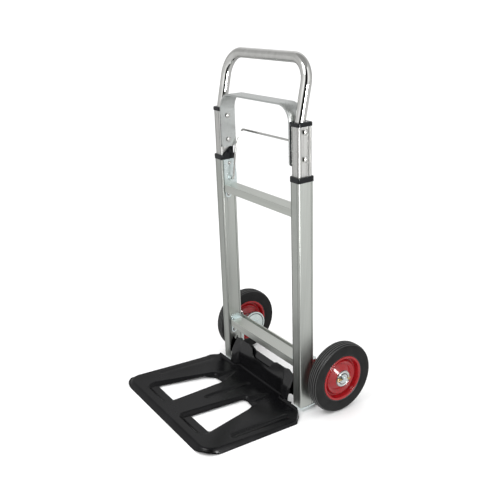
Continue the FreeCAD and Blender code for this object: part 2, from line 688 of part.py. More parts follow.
def axle():
    y, z = WHEEL_LOCAL
    rod = rod_x(PIVOT_X, AXLE_END, y, z, AXLE_RADIUS)
    end = [edge for edge in rod.Edges if edge.BoundBox.XMin > AXLE_END - 0.1]
    rod = rod.makeChamfer(1.2, end)
    head = rod_x(PIVOT_X - 3.5, PIVOT_X, y, z, 11.0)
    return rod.fuse(head).cut(cotter_bore(y, z))


def cotter_bore(y, z):
    bore = Part.makeCylinder(1.7, 40, vec(206.4, y - 20, z), Y_AXIS)
    bore.rotate(vec(206.4, y, z), X_AXIS, COTTER_TURN)
    return bore


def cotter():
    """Split pin through the axle: an eye at one end and two spread legs at the other."""
    y, z = WHEEL_LOCAL
    shank = Part.makeCylinder(1.6, 24, vec(206.4, y - 10, z), Y_AXIS)
    eye = Part.makeTorus(3.6, 1.2, vec(206.4, y + 17, z), X_AXIS)
    pin = shank.fuse(eye)
    for spread in (-1, 1):
        leg = Part.makeCylinder(1.1, 9, vec(206.4, y - 9.5, z), vec(0, -1, 0.3 * spread))
        pin = pin.fuse(leg)
    pin.rotate(vec(206.4, y, z), X_AXIS, COTTER_TURN)
    return pin


def axle_washer():
    y, z = WHEEL_LOCAL
    return rod_x(HUB_OUTER + 0.4, HUB_OUTER + 2.2, y, z, 12.5).cut(
        hole_x(HUB_OUTER, HUB_OUTER + 3, y, z, AXLE_RADIUS))


def hub():
    """Bush on the axle with a broad flange against each face of the wheel disc."""
    y, z = WHEEL_LOCAL
    inner_flange = 2 * WHEEL_MID - HUB_OUTER
    body = rod_x(HUB_INNER, HUB_OUTER, y, z, HUB_RADIUS)
    body = body.fuse(rod_x(HUB_OUTER - 1.8, HUB_OUTER - 0.2, y, z, 20.0))
    body = body.fuse(rod_x(inner_flange + 0.2, inner_flange + 1.8, y, z, 20.0))
    return body.cut(hole_x(HUB_INNER - 1, HUB_OUTER + 1, y, z, AXLE_RADIUS)).removeSplitter()


def rim():
    """Two pressed discs back to back, each with a rolled lip, joined by the tyre seat."""
    y, z = WHEEL_LOCAL
    sheet = 1.6
    face = [(HUB_OUTER - 1.85, HUB_RADIUS + FIT), (HUB_OUTER - 1.85, 21.0), (195.5, 37.0), (193.8, 41.0),
            (191.0, 44.5), (192.0, 47.2), (199.6, 49.0), (201.6, 50.4), (202.2, 52.2), (201.6, 54.0)]
    back = [(x - sheet, radius + (1.0 if radius > 44.6 else 0.0)) for x, radius in reversed(face[:-2])]
    outer = face + [(200.0, TYRE_BORE), (188.4, TYRE_BORE), (188.4, TYRE_BORE - sheet),
                    (199.0, TYRE_BORE - sheet)] + back
    half = revolve_x(outer, y, z)
    other = half.mirror(vec(WHEEL_MID, 0, 0), X_AXIS)
    return half.fuse(other).removeSplitter()


def tyre():
    """Solid tyre with a flat sidewall, rounded shoulders and fine grooves round the tread."""
    y, z = WHEEL_LOCAL
    near = WHEEL_MID - TYRE_HALF
    far = WHEEL_MID + TYRE_HALF
    bore = TYRE_BORE + FIT
    tread = []
    for step in range(-3, 4):
        middle = WHEEL_MID + TREAD_PITCH * step
        tread += [(middle - 0.6, WHEEL_RADIUS), (middle - 0.5, WHEEL_RADIUS - TREAD_DEPTH),
                  (middle + 0.5, WHEEL_RADIUS - TREAD_DEPTH), (middle + 0.6, WHEEL_RADIUS)]
    profile = [(near + 1.6, bore), (near + 0.6, 57.0), (near, 60.0), (near, 76.0), (near + 0.7, 80.0),
               (near + 2.0, WHEEL_RADIUS - 0.6), (near + 3.0, WHEEL_RADIUS)]
    shoulder = [(far + near - x, radius) for x, radius in reversed(profile)]
    return revolve_x(profile + tread + shoulder, y, z)


def main():
    os.makedirs("parts", exist_ok=True)
    for name, shape in (("stile", stile()), ("collar", collar()), ("lock_plate", lock_plate()),
                        ("gusset", gusset()), ("pivot_ear", pivot_ear()),
                        ("foot_plate", foot_plate()), ("pivot_pin", pivot_pin()),
                        ("pivot_cap", pivot_cap()), ("tube", telescopic_tube()),
                        ("tube_cap", tube_cap()), ("spacer", spacer()), ("lock_pin", lock_pin()),
                        ("arm", arm()), ("axle", axle()), ("cotter", cotter()),
                        ("axle_washer", axle_washer()), ("hub", hub()), ("rim", rim()),
                        ("tyre", tyre())):
        save_pair(name, shape)
    save("crossbar_upper", lean(crossbar(UPPER_BAR_TOP)))
    save("crossbar_lower", lean(crossbar(LOWER_BAR_TOP)))
    save("liner_rivets", *[lean(piece) for piece in rivets()])
    save("rear_rail", lean(rear_rail()))
    save("toe_pin", lean(toe_pin()))
    save("grip_arch", lean(grip_arch()))
    save("handle_hoop", lean(hoop()))
    save("handle_bolts", *[lean(piece) for piece in handle_bolts()])
    save("release_bail", lean(release_bail()))
    save("toe_plate", level(toe_plate()))
    save("toe_upstand", level(toe_upstand()))


main()
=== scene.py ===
"""Looks of the folding hand truck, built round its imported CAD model.

X runs across the truck, -Y is the toe plate side and +Z is up, with the floor at Z = 0. The truck's
own sizes are millimetres, scaled by MM where they are used; the camera and the studio are in metres.
"""

import math

import bpy
import numpy as np
from mathutils import Euler, Matrix, Vector
from mathutils.geometry import delaunay_2d_cdt


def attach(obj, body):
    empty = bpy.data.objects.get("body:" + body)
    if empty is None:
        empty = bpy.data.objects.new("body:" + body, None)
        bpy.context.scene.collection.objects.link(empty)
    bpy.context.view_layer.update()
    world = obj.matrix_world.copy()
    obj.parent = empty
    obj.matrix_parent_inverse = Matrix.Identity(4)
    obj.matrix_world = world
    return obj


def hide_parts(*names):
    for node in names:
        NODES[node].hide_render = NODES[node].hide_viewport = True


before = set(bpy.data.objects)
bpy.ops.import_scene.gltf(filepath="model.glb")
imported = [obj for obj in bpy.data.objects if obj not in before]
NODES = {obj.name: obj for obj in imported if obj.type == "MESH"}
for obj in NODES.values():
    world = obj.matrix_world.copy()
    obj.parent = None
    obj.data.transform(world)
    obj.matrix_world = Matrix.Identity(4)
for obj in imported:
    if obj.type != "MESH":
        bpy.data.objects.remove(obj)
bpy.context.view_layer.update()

# Camera: place in metres, turn about X, Y and Z in degrees, lens and sensor width in millimetres
CAMERA_PLACE = (1.19446, -0.83164, 0.84628)
CAMERA_TURN = (71.4473, -1.2512, 55.0855)
CAMERA_LENS = 48.877
SENSOR = 36.0

SIDES = ("right", "left")

MM = 0.001
FOOT_Y, FOOT_Z = 54.97, 10.2    # front foot of the uprights; sheets are drawn with Y from here
LEAN = math.radians(3.86)       # forward lean of the uprights
WHEEL_Y, WHEEL_Z = 139.03, 83.5     # the wheels' axis
WHEEL_MID = 188.4               # from the truck's middle plane to a wheel's
TREAD_PLACES = (-10.8, -5.4, 0.0, 5.4, 10.8)    # grooves, from the wheel's middle plane
TREAD_HALF, TREAD_DEPTH = 1.2, 1.6      # half width and depth of a groove
TREAD_REACH = 13.6              # half width of the tread


# ---------------------------------------------------------------- materials

class Shader:
    """A material with a Principled shader and short calls for the nodes that feed it."""

    def __init__(self, name, color, metallic=0.0, roughness=0.5, **sockets):
        self.material = bpy.data.materials.new(name)
        self.material.use_nodes = True
        self.tree = self.material.node_tree
        self.shader = self.tree.nodes["Principled BSDF"]
        self.set("Base Color", (*color, 1.0))
        self.set("Metallic", metallic)
        self.set("Roughness", roughness)
        for socket, value in sockets.items():
            self.set(socket.replace("_", " ").title(), value)
        self.place = self.node("ShaderNodeTexCoord").outputs["Object"]

    def node(self, kind, **settings):
        made = self.tree.nodes.new(kind)
        for key, value in settings.items():
            setattr(made, key, value)
        return made

    def link(self, source, target):
        self.tree.links.new(source, target)

    def set(self, socket, value):
        self.shader.inputs[socket].default_value = value

    def stretched(self, scale):
        mapping = self.node("ShaderNodeMapping")
        mapping.inputs["Scale"].default_value = scale
        self.link(self.place, mapping.inputs["Vector"])
        return mapping.outputs["Vector"]

    def noise(self, scale, detail=3.0, stretch=(1, 1, 1), roughness=0.55):
        made = self.node("ShaderNodeTexNoise")
        made.inputs["Scale"].default_value = scale
        made.inputs["Detail"].default_value = detail
        made.inputs["Roughness"].default_value = roughness
        self.link(self.stretched(stretch), made.inputs["Vector"])
        return made.outputs["Fac"]

    def ramp(self, factor, low, high, start=0.0, end=1.0):
        """A colour that goes from low to high as the factor goes from start to end."""
        made = self.node("ShaderNodeValToRGB")
        first, last = made.color_ramp.elements
        first.position, last.position = start, end
        first.color, last.color = (*low, 1.0), (*high, 1.0)
        self.link(factor, made.inputs["Fac"])
        return made.outputs["Color"]

    def level(self, factor, low, high, start=0.3, end=0.7):
        """A number that goes from low to high as the factor goes from start to end."""
        made = self.node("ShaderNodeMapRange")
        for key, value in (("From Min", start), ("From Max", end), ("To Min", low), ("To Max", high)):
            made.inputs[key].default_value = value
        self.link(factor, made.inputs["Value"])
        return made.outputs["Result"]

    def color(self, output):
        self.link(output, self.shader.inputs["Base Color"])

    def rough(self, output):
        self.link(output, self.shader.inputs["Roughness"])

    def axis(self, name):
        """The coordinate along one axis; X is measured outward on both sides of the truck."""
        parts = self.node("ShaderNodeSeparateXYZ")
        self.link(self.place, parts.inputs["Vector"])
        return self.math("ABSOLUTE", parts.outputs[name])

    def depth(self):
        """The distance behind the front face of the uprights, which leans forward."""
        back = self.math("SUBTRACT", self.axis("Y"), MM * FOOT_Y)
        rise = self.math("SUBTRACT", self.axis("Z"), MM * FOOT_Z)
        return self.math("ADD", self.math("MULTIPLY", back, math.cos(LEAN)),
                         self.math("MULTIPLY", rise, math.sin(LEAN)))

    def wheel_radius(self):
        """The distance from the wheels' axis."""
        rise = self.math("SUBTRACT", self.axis("Z"), MM * WHEEL_Z)
        back = self.math("SUBTRACT", self.axis("Y"), MM * WHEEL_Y)
        squares = [self.math("MULTIPLY", value, value) for value in (rise, back)]
        return self.math("SQRT", self.math("ADD", *squares))

    def math(self, operation, *values):
        made = self.node("ShaderNodeMath", operation=operation)
        for socket, value in zip(made.inputs, values):
            if isinstance(value, (int, float)):
                socket.default_value = value
            else:
                self.link(value, socket)
        return made.outputs["Value"]

    def darken(self, color, value, bands, strength, shade=(0.02, 0.02, 0.02)):
        """The colour with painted shade where the value meets a band; bands are (middle, half width)
        pairs.
        """
        inside = 0.0
        for middle, half in bands:
            met = self.math("COMPARE", value, MM * middle, MM * half)
            inside = self.math("ADD", inside, met)
        made = self.node("ShaderNodeMix", data_type="RGBA")
        self.link(self.math("MULTIPLY", inside, strength), made.inputs["Factor"])
        self.link(color, made.inputs["A"])
        made.inputs["B"].default_value = (*shade, 1.0)
        return made.outputs["Result"]

    def bump(self, height, strength, distance):
        made = self.node("ShaderNodeBump")
        made.inputs["Strength"].default_value = strength
        made.inputs["Distance"].default_value = distance
        self.link(height, made.inputs["Height"])
        self.link(made.outputs["Normal"], self.shader.inputs["Normal"])


GROOVE_PAINTED_SHADE, RING_PAINTED_SHADE = 0.75, 0.8      # strength of the painted shade in the grooves and at the pressed rings
TREAD_SHADE = 1.1               # width of the dark in a tread groove, over the groove's


def extruded_aluminium(name, dark, light, roughness, grain, across=(), behind=()):
    """Anodised extrusion with fine die lines along it; grain is the texture scale on each axis.

    Painted shade darkens the grooves that run along it, at places across the truck and behind the
    uprights' front face.
    """
    made = Shader(name, light, metallic=1.0, roughness=roughness)
    lines = made.noise(1.0, detail=4.0, stretch=grain)
    color = made.ramp(lines, dark, light, 0.3, 0.7)
    if across or behind:
        # painted shade: dark bands in the grooves along the extrusion, where shade falls
        color = made.darken(color, made.axis("X"), across, GROOVE_PAINTED_SHADE)
        color = made.darken(color, made.depth(), behind, GROOVE_PAINTED_SHADE)
    made.color(color)
    made.rough(made.level(lines, roughness - 0.05, roughness + 0.07))
    made.bump(lines, 0.06, 0.0002)
    return made.material


def coated_metal(name, dark, light, roughness, scale, peel, rings=()):
    """Plated metal with a faint mottle, an uneven surface and painted shade at the pressed rings round
    the axle.
    """
    made = Shader(name, light, metallic=1.0, roughness=roughness)
    mottle = made.noise(scale, detail=5.0)
    color = made.ramp(mottle, dark, light, 0.35, 0.65)
    if rings:
        # painted shade: dark bands at the pressed rings round the axle
        color = made.darken(color, made.wheel_radius(), rings, RING_PAINTED_SHADE)
    made.color(color)
    made.rough(made.level(made.noise(scale * 0.4), roughness - 0.06, roughness + 0.08))
    made.bump(made.noise(scale * 3.0, detail=2.0), peel, 0.0002)
    return made.material


def chrome(name):
    """Mirror plate with faint smudges and a slow ripple."""
    made = Shader(name, (0.68, 0.68, 0.66), metallic=1.0, roughness=0.05)
    smudge = made.noise(55.0, detail=6.0)
    made.rough(made.level(smudge, 0.03, 0.08))
    made.color(made.ramp(smudge, (0.64, 0.64, 0.62), (0.71, 0.71, 0.69), 0.35, 0.65))
    made.bump(made.noise(20.0, detail=1.0), 0.02, 0.0005)
    return made.material


def black_paint(name, specular, roughness):
    """Black powder coat with fine orange peel."""
    made = Shader(name, (0.002, 0.002, 0.003), roughness=roughness)
    made.set("Specular IOR Level", specular)
    cloud = made.noise(18.0, detail=5.0)
    made.color(made.ramp(cloud, (0.001, 0.001, 0.0015), (0.004, 0.004, 0.005), 0.3, 0.7))
    made.rough(made.level(cloud, roughness - 0.04, roughness + 0.04))
    made.bump(made.noise(900.0, detail=2.0), 0.08, 0.0002)
    return made.material


def gloss_paint(name, deep, bright):
    """Cloudy pigment under a clear, glossy coat."""
    made = Shader(name, bright, roughness=0.4, coat_weight=1.0, coat_roughness=0.03)
    made.set("Specular IOR Level", 0.1)
    made.color(made.ramp(made.noise(30.0), deep, bright, 0.3, 0.7))
    made.rough(made.level(made.noise(60.0), 0.34, 0.44))
    return made.material


def moulded_plastic(name):
    """Black plastic with a fine moulded grain."""
    made = Shader(name, (0.004, 0.004, 0.005), roughness=0.2)
    made.set("Specular IOR Level", 0.35)
    grain = made.noise(1400.0, detail=2.0)
    made.color(made.ramp(made.noise(60.0), (0.002, 0.003, 0.004), (0.006, 0.007, 0.008)))
    made.rough(made.level(grain, 0.14, 0.24))
    made.bump(grain, 0.05, 0.0002)
    return made.material


def tyre_rubber(name):
    """Black rubber with a bloom of dust, a tread painted lighter grey as a painted sheen, and painted
    shade in its grooves.
    """
    made = Shader(name, (0.006, 0.006, 0.006), roughness=0.4)
    made.set("Specular IOR Level", 0.22)
    bloom = made.noise(40.0, detail=6.0)
    color = made.ramp(bloom, (0.003, 0.003, 0.003), (0.010, 0.010, 0.010), 0.3, 0.75)
    # painted sheen: the tread is painted a lighter grey than the sidewall
    tread = made.node("ShaderNodeMix", data_type="RGBA")
    offset = made.math("SUBTRACT", made.axis("X"), MM * WHEEL_MID)
    made.link(made.math("COMPARE", offset, 0.0, MM * TREAD_REACH), tread.inputs["Factor"])
    made.link(color, tread.inputs["A"])
    tread.inputs["B"].default_value = (0.055, 0.055, 0.055, 1.0)
    # painted shade: dark bands in the tread grooves
    grooves = [(middle, TREAD_SHADE * TREAD_HALF) for middle in TREAD_PLACES]
    made.color(made.darken(tread.outputs["Result"], offset, grooves, 0.95, (0.001, 0.001, 0.001)))
    made.rough(made.level(bloom, 0.30, 0.44))
    made.bump(made.noise(1500.0, detail=3.0), 0.18, 0.0002)
    return made.material


UPRIGHT_GRAIN = (900.0, 900.0, 5.0)
CROSS_GRAIN = (5.0, 900.0, 900.0)

# Bands of painted shade at grooves and pressed rings, each as the place or radius of its middle and half
# its width
STILE_ACROSS = [(133.7, 0.7), (151.9, 0.5)]
STILE_BEHIND = [(32.5, 0.6)]
TUBE_ACROSS = [(136.7, 0.6), (151.7, 0.6)]
TUBE_BEHIND = [(9.2, 0.5), (28.2, 0.9), (35.0, 0.7)]
ARM_RINGS = [(6.8, 1.0), (28.4, 1.4)]
HUB_RINGS = [(6.8, 1.0), (12.6, 1.4), (19.4, 0.8)]

FRAME_METAL = extruded_aluminium("frame_aluminium", (0.47, 0.49, 0.46), (0.56, 0.58, 0.55), 0.36,
                                 UPRIGHT_GRAIN, STILE_ACROSS, STILE_BEHIND)
CROSS_METAL = extruded_aluminium("crossbar_aluminium", (0.58, 0.60, 0.56), (0.68, 0.70, 0.66), 0.34,
                                 CROSS_GRAIN)
TUBE_METAL = extruded_aluminium("tube_aluminium", (0.60, 0.60, 0.58), (0.70, 0.70, 0.68), 0.30,
                                UPRIGHT_GRAIN, TUBE_ACROSS, TUBE_BEHIND)
STRAP_METAL = extruded_aluminium("strap_aluminium", (0.50, 0.52, 0.51), (0.62, 0.64, 0.63), 0.30,
                                 CROSS_GRAIN)
ZINC = coated_metal("zinc_plate", (0.70, 0.78, 0.78), (0.80, 0.88, 0.88), 0.26, 90.0, 0.03)
ARM_ZINC = coated_metal("arm_zinc", (0.80, 0.89, 0.87), (0.88, 0.97, 0.95), 0.24, 90.0, 0.03,
                        ARM_RINGS)
ZINC_BRIGHT = coated_metal("bright_zinc", (0.74, 0.76, 0.76), (0.88, 0.89, 0.88), 0.16, 300.0, 0.03,
                           HUB_RINGS)
STEEL = coated_metal("bright_steel", (0.62, 0.62, 0.60), (0.78, 0.78, 0.76), 0.18, 400.0, 0.05)
BRASS = coated_metal("brass_plate", (0.55, 0.38, 0.14), (0.75, 0.58, 0.26), 0.24, 400.0, 0.05)
CHROME = chrome("chrome")
PLATE_PAINT = black_paint("plate_paint", specular=0.24, roughness=0.24)
WALL_PAINT = black_paint("wall_paint", specular=0.55, roughness=0.18)
RED_PAINT = gloss_paint("red_paint", (0.28, 0.002, 0.005), (0.38, 0.004, 0.008))
PLASTIC = moulded_plastic("black_plastic")
RUBBER = tyre_rubber("tyre_rubber")


# ---------------------------------------------------------------- CAD nodes that stay

WELD_GAP = 0.01             # points of one node closer than this are joined
EDGE_ANGLE = math.radians(40)   # edges that turn more than this are softened


def dress(node, material, width):
    """Gives a CAD node its material and, where the width isn't 0, softened edges."""
    piece = NODES[node]
    piece.data.materials.clear()
    piece.data.materials.append(material)
    if width:
        weld = piece.modifiers.new("weld", "WELD")
        weld.merge_threshold = MM * WELD_GAP
        bevel = piece.modifiers.new("soft_edges", "BEVEL")
        bevel.width = MM * width
        bevel.segments = 2
        bevel.limit_method = "ANGLE"
        bevel.angle_limit = EDGE_ANGLE
        bevel.harden_normals = True


# Each node's material and the width of its softened edges; paired nodes have a right and a left one
PAIRED = {
    "stile": (FRAME_METAL, 0.4), "collar": (PLASTIC, 0.5), "lock_plate": (ZINC, 0.3),
    "gusset": (ZINC, 0.3), "pivot_ear": (ZINC, 0.3), "foot_plate": (ZINC, 0.3),
    "pivot_pin": (STEEL, 0.0), "pivot_cap": (PLASTIC, 0.0), "tube": (TUBE_METAL, 0.2),
    "tube_cap": (PLASTIC, 0.0), "spacer": (PLASTIC, 0.4), "lock_pin": (PLASTIC, 0.2),
    "arm": (ARM_ZINC, 0.3), "axle": (ZINC, 0.0), "cotter": (BRASS, 0.0),
    "axle_washer": (ZINC_BRIGHT, 0.2), "hub": (STEEL, 0.2),
}
SINGLE = {
    "crossbar_upper": (CROSS_METAL, 0.0), "crossbar_lower": (CROSS_METAL, 0.0),
    "liner_rivets": (CHROME, 0.0), "rear_rail": (CROSS_METAL, 0.3), "toe_pin": (ZINC, 0.0),
    "grip_arch": (STRAP_METAL, 0.4), "handle_hoop": (CHROME, 0.0), "handle_bolts": (CHROME, 0.0),
    "release_bail": (CHROME, 0.0),
}

for stem, (paint, soft) in PAIRED.items():
    for side in SIDES:
        dress(f"{stem}_{side}", paint, soft)
for stem, (paint, soft) in SINGLE.items():
    dress(stem, paint, soft)


# ---------------------------------------------------------------- shaped sheets

LOOP_STEP = 2.5             # spacing of the points round a sheet's edges
GRID_STEP = 2.6             # spacing of the points over its face
ROW_SLACK = 0.1             # a row's point this far from its own distance inside is left out
PROBE = 0.05                # step that measures the slope of a sheet


def soft_min(first, second, blend):
    """The lesser of two values, with the corner between them rounded off over the blend."""
    overlap = np.maximum(blend - np.abs(first - second), 0.0) / blend
    return np.minimum(first, second) - overlap * overlap * blend / 4


def soft_max(first, second, blend):
    """The greater of two values, rounded off in the same way."""
    return -soft_min(-first, -second, blend)


def soft_step(value, blend=0.35):
    """Rises from 0 to 1 as the value does, with both corners rounded off."""
    return soft_min(soft_max(value, 0.0, blend), 1.0, blend)


def both_sides(right):
    """Corners of the right-hand half followed by their mirror images."""
    return right + [(-x, y) for x, y in reversed(right)]


def rounded_loop(corners, radii):
    """Points round a polygon whose corners are each rounded by their own radius."""
    points = []
    count = len(corners)
    for index, (corner, radius) in enumerate(zip(corners, radii)):
        here = Vector(corner)
        back = (Vector(corners[index - 1]) - here).normalized()
        ahead = (Vector(corners[(index + 1) % count]) - here).normalized()
        half = back.angle(ahead) / 2
        middle = here + (back + ahead).normalized() * (radius / math.sin(half))
        start = here + back * (radius / math.tan(half)) - middle
        end = here + ahead * (radius / math.tan(half)) - middle
        turn = -start.angle_signed(end)
        steps = max(3, int(abs(turn) * radius / LOOP_STEP))
        for step in range(steps + 1):
            points.append(middle + Matrix.Rotation(turn * step / steps, 2) @ start)
    return points


def subdivided(loop):
    """The loop with points added along its long sides."""
    points = []
    for start, end in zip(loop, loop[1:] + loop[:1]):
        steps = max(1, round((end - start).length / LOOP_STEP))
        points += [start.lerp(end, step / steps) for step in range(steps)]
    return points


def depth_inside(loop, x, y):
    """Depth of points inside a convex counter-clockwise loop, from its nearest side."""
    depth = np.full(np.shape(x), np.inf)
    for start, end in zip(loop, loop[1:] + loop[:1]):
        along = (end - start).normalized()
        depth = np.minimum(depth, along.x * (y - start.y) - along.y * (x - start.x))
    return depth


class Sheet:
    """A pressed sheet: a height over a flat outline with openings, and an underside below it."""

    def __init__(self, outline, openings, edge_depth, rows):
        self.edge_depth = edge_depth
        self.openings = openings
        self.ring = subdivided(outline)
        rings = [self.ring] + [subdivided(loop[::-1]) for loop in openings]
        points, self.edges = [], []
        for ring in rings:
            start, size = len(points), len(ring)
            points += ring
            self.edges += [(start + index, start + (index + 1) % size) for index in range(size)]
        points += self.row_points(rows) + self.grid_points(rows[-1] + GRID_STEP / 2)
        flat, _, faces, *_ = delaunay_2d_cdt(points, self.edges, [], 0, 1e-5)
        self.x = np.array([point.x for point in flat])
        self.y = np.array([point.y for point in flat])
        faces = np.array(faces)
        self.faces = faces[self.covers(self.x[faces].mean(axis=1), self.y[faces].mean(axis=1))]

    def covers(self, x, y, from_outline=0.0, from_openings=0.0):
        """Which points lie on the sheet, at least so far from its outline and its openings."""
        on_sheet = self.edge_depth(x, y) > from_outline
        for loop in self.openings:
            on_sheet &= depth_inside(loop, x, y) < -from_openings
        return on_sheet

    def row_points(self, rows):
        """Rows of points that follow the outline at set distances inside it."""
        ring = self.ring
        found = []
        for before, here, after in zip(ring[-1:] + ring[:-1], ring, ring[1:] + ring[:1]):
            along = (after - before).normalized()
            for row in rows:
                point = here + Vector((-along.y, along.x)) * row
                if abs(self.edge_depth(point.x, point.y) - row) < ROW_SLACK:
                    found.append(point)
        return found

    def grid_points(self, margin):
        """A grid of points over the sheet, at least the margin inside its outline."""
        across = [point.x for point in self.ring]
        along = [point.y for point in self.ring]
        x, y = np.meshgrid(np.arange(min(across), max(across), GRID_STEP),
                           np.arange(min(along), max(along), GRID_STEP))
        keep = self.covers(x, y, margin, GRID_STEP / 2)
        return [Vector(pair) for pair in zip(x[keep], y[keep])]

    def mesh_data(self, height, underside):
        """Points, normals and faces of the top, the underside and the cut edges."""
        x, y = self.x, self.y
        top = height(x, y)
        slope_x = (height(x + PROBE, y) - height(x - PROBE, y)) / (2 * PROBE)
        slope_y = (height(x, y + PROBE) - height(x, y - PROBE)) / (2 * PROBE)
        stretch = np.sqrt(1 + slope_x ** 2 + slope_y ** 2)
        low = underside(x, y, top, stretch)
        normals = np.stack([-slope_x / stretch, -slope_y / stretch, 1 / stretch], axis=1)
        count = len(x)
        points = [*zip(x, y, top), *zip(x, y, low)]
        normals = [*normals, *-normals]
        faces = [tuple(face) for face in self.faces]
        faces += [tuple(count + face[::-1]) for face in self.faces]
        for first, second in self.edges:
            run = Vector((x[second] - x[first], y[second] - y[first])).normalized()
            base = len(points)
            for index in (first, second):
                points += [(x[index], y[index], top[index]), (x[index], y[index], low[index])]
            normals += [(run.y, -run.x, 0.0)] * 4
            faces.append((base, base + 1, base + 3, base + 2))
        return points, normals, faces


def add_piece(name, points, faces, material, body, replaced, normals=None):
    """Makes a smooth piece from millimetre points in the row frame and puts it on its body."""
    mesh = bpy.data.meshes.new(name)
    mesh.from_pydata([[MM * float(value) for value in point] for point in points], [],
                     [[int(index) for index in face] for face in faces])
    mesh.materials.append(material)
    mesh.shade_smooth()
    if normals is not None:
        mesh.normals_split_custom_set_from_vertices([[float(value) for value in normal]
                                                     for normal in normals])
    piece = bpy.data.objects.new(name, mesh)
    bpy.context.scene.collection.objects.link(piece)
    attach(piece, body)
    if replaced:
        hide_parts(*replaced)
    return piece


# ---------------------------------------------------------------- toe plate

PLATE_HALF, PLATE_FRONT, PLATE_TOP, PLATE_SHEET = 191.5, -277.5, 13.0, 1.4
CORNER_ROUND = 39.0
CORNER_LIFT, LIFT_RATE = 6.5, 2.8       # rise of the rim's lower edge at the front corners
PLATE_CORNERS = ((PLATE_HALF, PLATE_FRONT), (PLATE_HALF, -36.0))
PLATE_ROUNDING = [CORNER_ROUND, 7.0]
REAR_EDGE, NOTCH_EDGE = -13.0, -2.0
NOTCH_OUTER, NOTCH_INNER = 96.0, 88.0
RIM_STEEPNESS = 1.53        # rise of the rim over its run
RIM_ROUND = 6.0
CHAMFER_STEEPNESS = 4.0     # the same at the cut-off rear corners
REAR_BEND = 4.0             # radius of the bend up to the wall behind the plate
REAR_RISE, LIP_RISE = 2.6, 7.0
LIP_START, LIP_START_RUN = 110.0, 3.0       # the lip rises from here over the run
LIP_END, LIP_END_RUN = 170.0, 5.0           # and has sunk again here
SIDE_DROP = 7.0             # how far the sides sink toward the rear
DROP_OUT, DROP_OUT_RUN = 145.0, 38.0        # where the drop starts across and how soon it is full
DROP_BACK, DROP_BACK_RUN = -262.0, 190.0    # the same toward the rear
DROP_END, DROP_END_RUN = -20.0, 20.0        # where it ends, and over what length it fades
TRAY_DEPTH, TRAY_SLOPE = 8.5, 10.0
GROOVE_DEPTH, GROOVE_HALF = 2.8, 7.5
MIDDLE_GROOVE = (0.0, -152.0, -40.0)        # X, front end and rear end
SIDE_GROOVE = (164.0, -187.0, -47.0)
TAIL_X, TAIL_START, TAIL_END, TAIL_HALF = 67.0, -84.0, -25.0, 22.0
TAIL_TAPER, TAIL_FADE = 0.75, 0.8
SKIRT_STEEPNESS = 8.0       # of the underside at the rear edge
PLATE_ROWS = (1.2, 2.6, 4.2, 5.8, 7.4, 9.0, 11.0, 13.0)
FAR_BEHIND = 60.0           # where the rim's own outlines close, clear of the plate
CUT_CORNER = (170.0, REAR_EDGE)

outline_right = [*PLATE_CORNERS, CUT_CORNER, (NOTCH_OUTER, REAR_EDGE), (NOTCH_INNER, NOTCH_EDGE)]
outline_rounding = PLATE_ROUNDING + [4.0, 1.5, 1.5]
PLATE_OUTLINE = rounded_loop(both_sides(outline_right), outline_rounding + outline_rounding[::-1])
rim_rounding = [CORNER_ROUND, 1.0]
RIM_LOOP = rounded_loop(both_sides([PLATE_CORNERS[0], (PLATE_HALF, FAR_BEHIND)]),
                        rim_rounding + rim_rounding[::-1])
TRAY_LOOP = rounded_loop([(27.0, -250.0), (134.0, -250.0), (91.0, -70.0), (40.0, -66.0)],
                         [15.0, 22.0, 18.0, 14.0])
OPENING_RIGHT = rounded_loop([(39.8, -221.0), (117.0, -220.0), (94.0, -104.0), (79.0, -80.5),
                              (46.5, -76.5)], [4.0, 6.0, 14.0, 8.0, 10.0])
OPENING_LEFT = [Vector((-point.x, point.y)) for point in reversed(OPENING_RIGHT)]


def rear_depth(x, y):
    """Distance in front of the stepped rear edge."""
    run, rise = NOTCH_OUTER - NOTCH_INNER, NOTCH_EDGE - REAR_EDGE
    step = ((NOTCH_INNER - np.abs(x)) * rise + (NOTCH_EDGE - y) * run) / math.hypot(run, rise)
    return np.maximum(REAR_EDGE - y, np.minimum(NOTCH_EDGE - y, step))


def chamfer_depth(x, y):
    """Distance inside the cut-off rear corners."""
    (near_x, near_y), (far_x, far_y) = PLATE_CORNERS[1], CUT_CORNER
    run, rise = near_x - far_x, far_y - near_y
    return ((near_x - np.abs(x)) * rise + (near_y - y) * run) / math.hypot(run, rise)


def plate_depth(x, y):
    """Distance inside the whole outline."""
    sides = np.minimum(depth_inside(RIM_LOOP, x, y), chamfer_depth(x, y))
    return np.minimum(sides, rear_depth(x, y))


def corner_lift(x, y):
    """Height of the rim's lower edge, which is raised round the front corners."""
    across = np.abs(x) - (PLATE_HALF - CORNER_ROUND)
    ahead = PLATE_FRONT + CORNER_ROUND - y
    return CORNER_LIFT * soft_step(LIFT_RATE * np.minimum(across, ahead) / CORNER_ROUND, 0.8)


def groove_depth(x, y, middle, start, end):
    """Depth of a round-ended groove along Y."""
    away = np.hypot(x - middle, y - np.clip(y, start, end))
    return GROOVE_DEPTH * soft_step(1.3 * (1 - away / GROOVE_HALF), 0.5)


def tray_depth(side, y):
    """Depth of the tray round one opening and of the channel that tapers away behind it."""
    tray = TRAY_DEPTH * soft_step(depth_inside(TRAY_LOOP, side, y) / TRAY_SLOPE, 0.22)
    along = np.clip((y - TAIL_START) / (TAIL_END - TAIL_START), 0.0, 1.0)
    half = TAIL_HALF * (1 - TAIL_TAPER * along)
    hollow = soft_step(1.2 * (1 - np.abs(side - TAIL_X) / half))
    tail = TRAY_DEPTH * (1 - along) ** TAIL_FADE * hollow
    return soft_max(tray, np.where(y > TAIL_START, tail, 0.0), 1.5)


